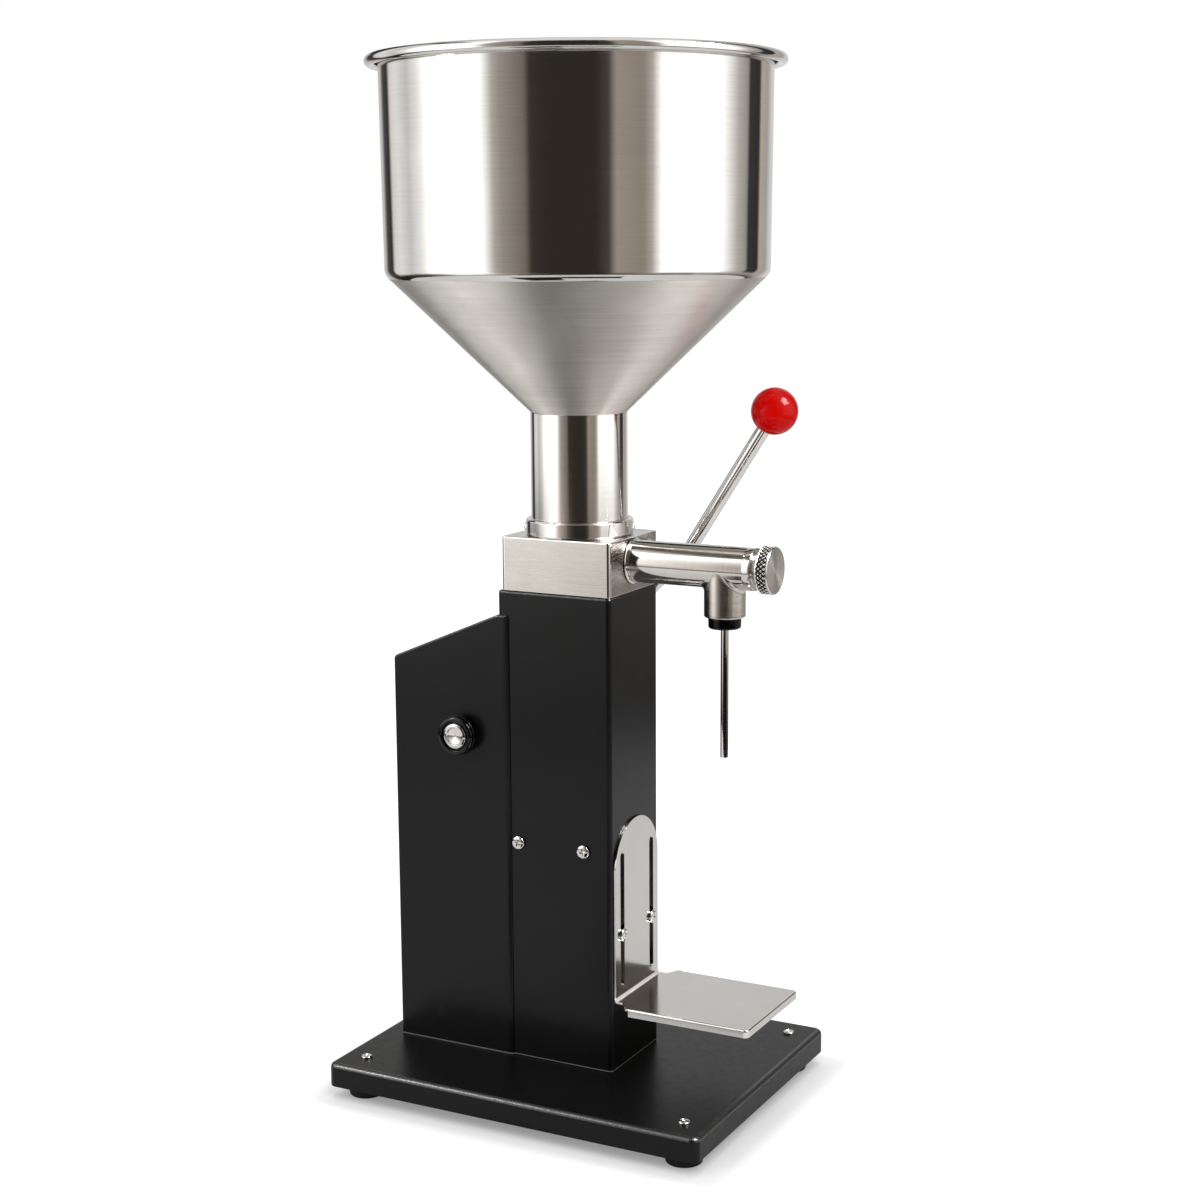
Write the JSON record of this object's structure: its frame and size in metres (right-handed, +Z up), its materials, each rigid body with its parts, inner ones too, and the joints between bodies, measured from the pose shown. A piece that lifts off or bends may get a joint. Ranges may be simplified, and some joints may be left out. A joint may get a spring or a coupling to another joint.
{
  "type": "manual filling machine",
  "caption": "Bench filling machine: hand lever and rocker draw a piston below a valve block, filling from a steel hopper and pushing out through a tube and nozzle over a sliding tray.",
  "frame": {"origin": "middle of the overall box at floor level, under the feet", "axes": "+Z up along the column, -Y towards the nozzle and tray, +X towards the lever's side"},
  "size_m": [0.313, 0.3272, 0.8],
  "materials": {
    "powder_black": "satin black powder coat",
    "rubber_black": "matt moulded rubber",
    "plastic_black": "semi-gloss black plastic",
    "steel_brushed": "finely brushed stainless steel",
    "steel_polished": "polished stainless steel",
    "steel_machined": "machined bright steel",
    "bronze": "machined bearing bronze",
    "ball_red": "glossy red plastic",
    "seal_white": "white sealing plastic"
  },
  "bodies": {
    "frame": {"base_plate": "powder_black", "block_screw_1": "steel_polished", "block_screw_2": "steel_polished", "column": "powder_black", "column_bolt_1": "steel_polished", "column_bolt_2": "steel_polished", "cover_screw_1": "steel_polished", "cover_screw_2": "steel_polished", "cylinder_cap": "bronze", "foot_screw_1": "steel_polished", "foot_screw_2": "steel_polished", "foot_screw_3": "steel_polished", "foot_screw_4": "steel_polished", "grub_screw_front": "steel_polished", "grub_screw_rear": "steel_polished", "guide_bracket": "steel_machined", "hopper": "steel_brushed", "hopper_collar": "steel_polished", "hopper_seal": "seal_white", "inlet_cage": "steel_polished", "inlet_seat": "seal_white", "inlet_spring": "steel_machined", "metering_cylinder": "steel_polished", "nozzle": "steel_polished", "outlet_spring": "steel_machined", "outlet_tube": "steel_brushed", "rear_cover": "powder_black", "rubber_foot_1": "rubber_black", "rubber_foot_2": "rubber_black", "rubber_foot_3": "rubber_black", "rubber_foot_4": "rubber_black", "shaft_bush_left": "bronze", "shaft_bush_right": "bronze", "side_screw_1": "steel_polished", "side_screw_2": "steel_polished", "side_screw_3": "steel_polished", "side_screw_4": "steel_polished", "stroke_lock_nut": "steel_polished", "tray_screw_1": "steel_polished", "tray_screw_2": "steel_polished", "valve_block": "steel_brushed"},
    "lever": {"pivot_shaft": "steel_polished", "shaft_collar_left": "plastic_black", "shaft_collar_right": "plastic_black", "lever_hub": "steel_machined", "hub_screw": "steel_machined", "lever_rod": "steel_polished", "ball_knob": "ball_red", "rocker_arm": "steel_machined"},
    "piston": {"piston": "steel_polished", "piston_seal": "seal_white", "piston_rod": "steel_polished", "crosshead": "steel_machined", "cross_pin": "steel_polished"},
    "inlet_ball": {"inlet_ball": "steel_polished"},
    "outlet_ball": {"outlet_ball": "steel_polished"},
    "end_cap": {"end_cap": "steel_polished"},
    "nozzle_nut": {"nozzle_nut": "plastic_black"},
    "tray": {"product_tray": "steel_brushed"},
    "stroke_screw": {"stroke_screw": "steel_polished"}
  },
  "joints": [
    {"name": "lever_swing", "type": "hinge", "parent": "frame", "child": "lever", "pos_m": [0, 0.0837, 0.2863], "axis": [1, 0, 0], "range_deg": [0, 27]},
    {"name": "piston_stroke", "type": "slide", "parent": "frame", "child": "piston", "axis": [0, 0, -1], "range_m": [0, 0.0401]},
    {"name": "inlet_valve", "type": "slide", "parent": "frame", "child": "inlet_ball", "axis": [0, 0, -1], "range_m": [0, 0.004], "stiffness_N_per_m": 250, "springref_m": -0.006, "deforming": ["inlet_spring"]},
    {"name": "outlet_valve", "type": "slide", "parent": "frame", "child": "outlet_ball", "axis": [0, -1, 0], "range_m": [0, 0.005], "stiffness_N_per_m": 200, "springref_m": -0.006, "deforming": ["outlet_spring"]},
    {"name": "end_cap_turn", "type": "hinge", "parent": "frame", "child": "end_cap", "pos_m": [0, -0.1421, 0.4255], "axis": [0, -1, 0], "range_deg": [0, 1080]},
    {"name": "nozzle_nut_turn", "type": "hinge", "parent": "frame", "child": "nozzle_nut", "pos_m": [0, -0.1218, 0.3883], "axis": [0, 0, -1], "range_deg": [0, 1080]},
    {"name": "tray_height", "type": "slide", "parent": "frame", "child": "tray", "axis": [0, 0, 1], "range_m": [-0.048, 0.036]},
    {"name": "stroke_screw_turn", "type": "hinge", "parent": "frame", "child": "stroke_screw", "pos_m": [0, 0.1454, 0.2243], "axis": [0, 1, 0], "range_deg": [-1080, 1080]}
  ],
  "couplings": [
    {"joint": "piston_stroke", "follows": "lever_swing", "m_per_rad": 0.08488}
  ]
}
